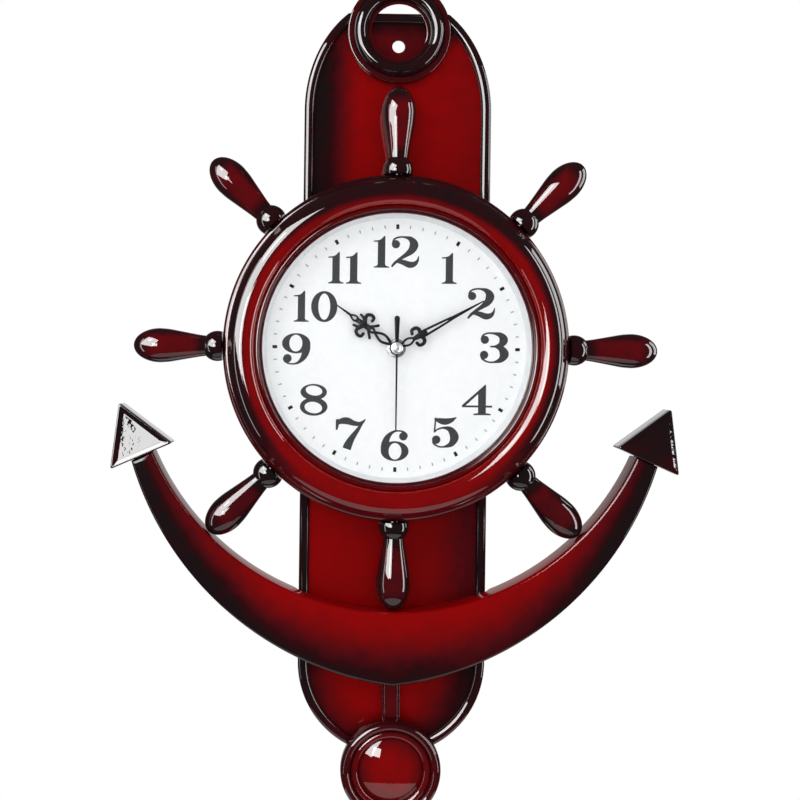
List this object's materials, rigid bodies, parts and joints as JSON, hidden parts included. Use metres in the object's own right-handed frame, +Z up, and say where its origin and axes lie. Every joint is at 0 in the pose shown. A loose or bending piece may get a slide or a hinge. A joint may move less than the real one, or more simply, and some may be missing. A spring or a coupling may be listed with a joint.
{
  "type": "wall clock",
  "caption": "Anchor-shaped quartz wall clock: a ship's wheel frames the dial on a tall panel, with scroll hands, curved anchor arms, flukes and a swinging pendulum below.",
  "frame": {"origin": "centre of the hanging hole, on the wall plane behind the panel", "axes": "+Z up, +X to the right as seen from the front, +Y into the wall, so the viewer is on the -Y side"},
  "size_m": [0.4408, 0.063, 0.6633],
  "materials": {
    "red_lacquer": "high gloss lacquer",
    "dark_lacquer": "high gloss lacquer",
    "dial_white": "matt print card",
    "white_plastic": "satin",
    "clear_glass": "polished",
    "black_metal": "satin paint",
    "chrome": "polished",
    "brass": "turned",
    "black_plastic": "moulded",
    "gear_plastic": "moulded",
    "magnet_grey": "plated",
    "steel": "plain",
    "copper": "enamelled copper wire",
    "board_green": "solder mask",
    "black_rubber": "moulded",
    "cell_sleeve": "plain sleeve"
  },
  "bodies": {
    "clock": {"anchor_arms": "red_lacquer", "anchor_ring": "dark_lacquer", "back_panel": "red_lacquer", "circuit_board": "board_green", "clock_cell": "cell_sleeve", "clock_contact_minus": "steel", "clock_contact_plus": "steel", "coil": "copper", "cross_rib_lower": "black_plastic", "cross_rib_top": "black_plastic", "cross_rib_upper": "black_plastic", "dial": "dial_white", "dial_spacer": "white_plastic", "dial_washer": "black_rubber", "fixing_nut": "brass", "fluke_left": "dark_lacquer", "fluke_right": "dark_lacquer", "hanging_boss": "black_plastic", "lens": "clear_glass", "movement_case": "black_plastic", "movement_cover": "black_plastic", "panel_frame": "dark_lacquer", "pivot_pin": "steel", "stator": "steel", "swing_board": "board_green", "swing_case": "black_plastic", "swing_cell": "cell_sleeve", "swing_coil": "copper", "swing_contact_minus": "steel", "swing_contact_plus": "steel", "swing_cover": "black_plastic", "threaded_bush": "brass", "wheel_bezel": "red_lacquer", "wheel_handle_1": "dark_lacquer", "wheel_handle_2": "dark_lacquer", "wheel_handle_3": "dark_lacquer", "wheel_handle_4": "dark_lacquer", "wheel_handle_5": "dark_lacquer", "wheel_handle_6": "dark_lacquer", "wheel_handle_7": "dark_lacquer", "wheel_handle_8": "dark_lacquer"},
    "pendulum": {"pendulum_hanger": "black_plastic", "pendulum_magnet": "magnet_grey", "pendulum_rod": "red_lacquer", "bob_ring": "dark_lacquer", "bob_back": "black_plastic", "bob_cap": "red_lacquer"},
    "seconds": {"second_hand": "black_metal", "hub_cap": "chrome", "seconds_wheel": "gear_plastic"},
    "rotor": {"rotor": "magnet_grey"},
    "intermediate": {"intermediate_wheel": "gear_plastic"},
    "third": {"third_wheel": "gear_plastic"},
    "centre": {"centre_wheel": "gear_plastic"},
    "minute": {"minute_hand": "black_metal", "cannon_pinion": "gear_plastic"},
    "setting": {"minute_wheel": "gear_plastic", "setting_knob": "black_plastic"},
    "hour": {"hour_hand": "black_metal", "hour_wheel": "gear_plastic"}
  },
  "joints": [
    {"name": "pendulum_swing", "type": "hinge", "parent": "clock", "child": "pendulum", "pos_m": [0, -0.03, -0.4625], "axis": [0, 1, 0], "range_deg": [-8, 8]},
    {"name": "seconds_turn", "type": "hinge", "parent": "clock", "child": "seconds", "pos_m": [0, -0.03, -0.2405], "axis": [0, 1, 0], "continuous": true},
    {"name": "rotor_turn", "type": "hinge", "parent": "clock", "child": "rotor", "pos_m": [0.00448, -0.03, -0.22577], "axis": [0, 1, 0], "continuous": true},
    {"name": "intermediate_turn", "type": "hinge", "parent": "clock", "child": "intermediate", "pos_m": [-0.00274, -0.03, -0.23298], "axis": [0, 1, 0], "continuous": true},
    {"name": "third_turn", "type": "hinge", "parent": "clock", "child": "third", "pos_m": [-0.00935, -0.03, -0.2351], "axis": [0, 1, 0], "continuous": true},
    {"name": "centre_turn", "type": "hinge", "parent": "clock", "child": "centre", "pos_m": [0, -0.03, -0.2405], "axis": [0, 1, 0], "continuous": true},
    {"name": "minute_turn", "type": "hinge", "parent": "clock", "child": "minute", "pos_m": [0, -0.03, -0.2405], "axis": [0, 1, 0], "continuous": true},
    {"name": "setting_turn", "type": "hinge", "parent": "clock", "child": "setting", "pos_m": [0.011, -0.03, -0.2405], "axis": [0, 1, 0], "continuous": true},
    {"name": "hour_turn", "type": "hinge", "parent": "clock", "child": "hour", "pos_m": [0, -0.03, -0.2405], "axis": [0, 1, 0], "continuous": true}
  ],
  "couplings": [
    {"joint": "rotor_turn", "follows": "seconds_turn", "ratio": 30},
    {"joint": "intermediate_turn", "follows": "seconds_turn", "ratio": -4},
    {"joint": "third_turn", "follows": "seconds_turn", "ratio": -0.13333},
    {"joint": "centre_turn", "follows": "seconds_turn", "ratio": 0.016667},
    {"joint": "setting_turn", "follows": "minute_turn", "ratio": -0.33333},
    {"joint": "hour_turn", "follows": "minute_turn", "ratio": 0.083333}
  ]
}
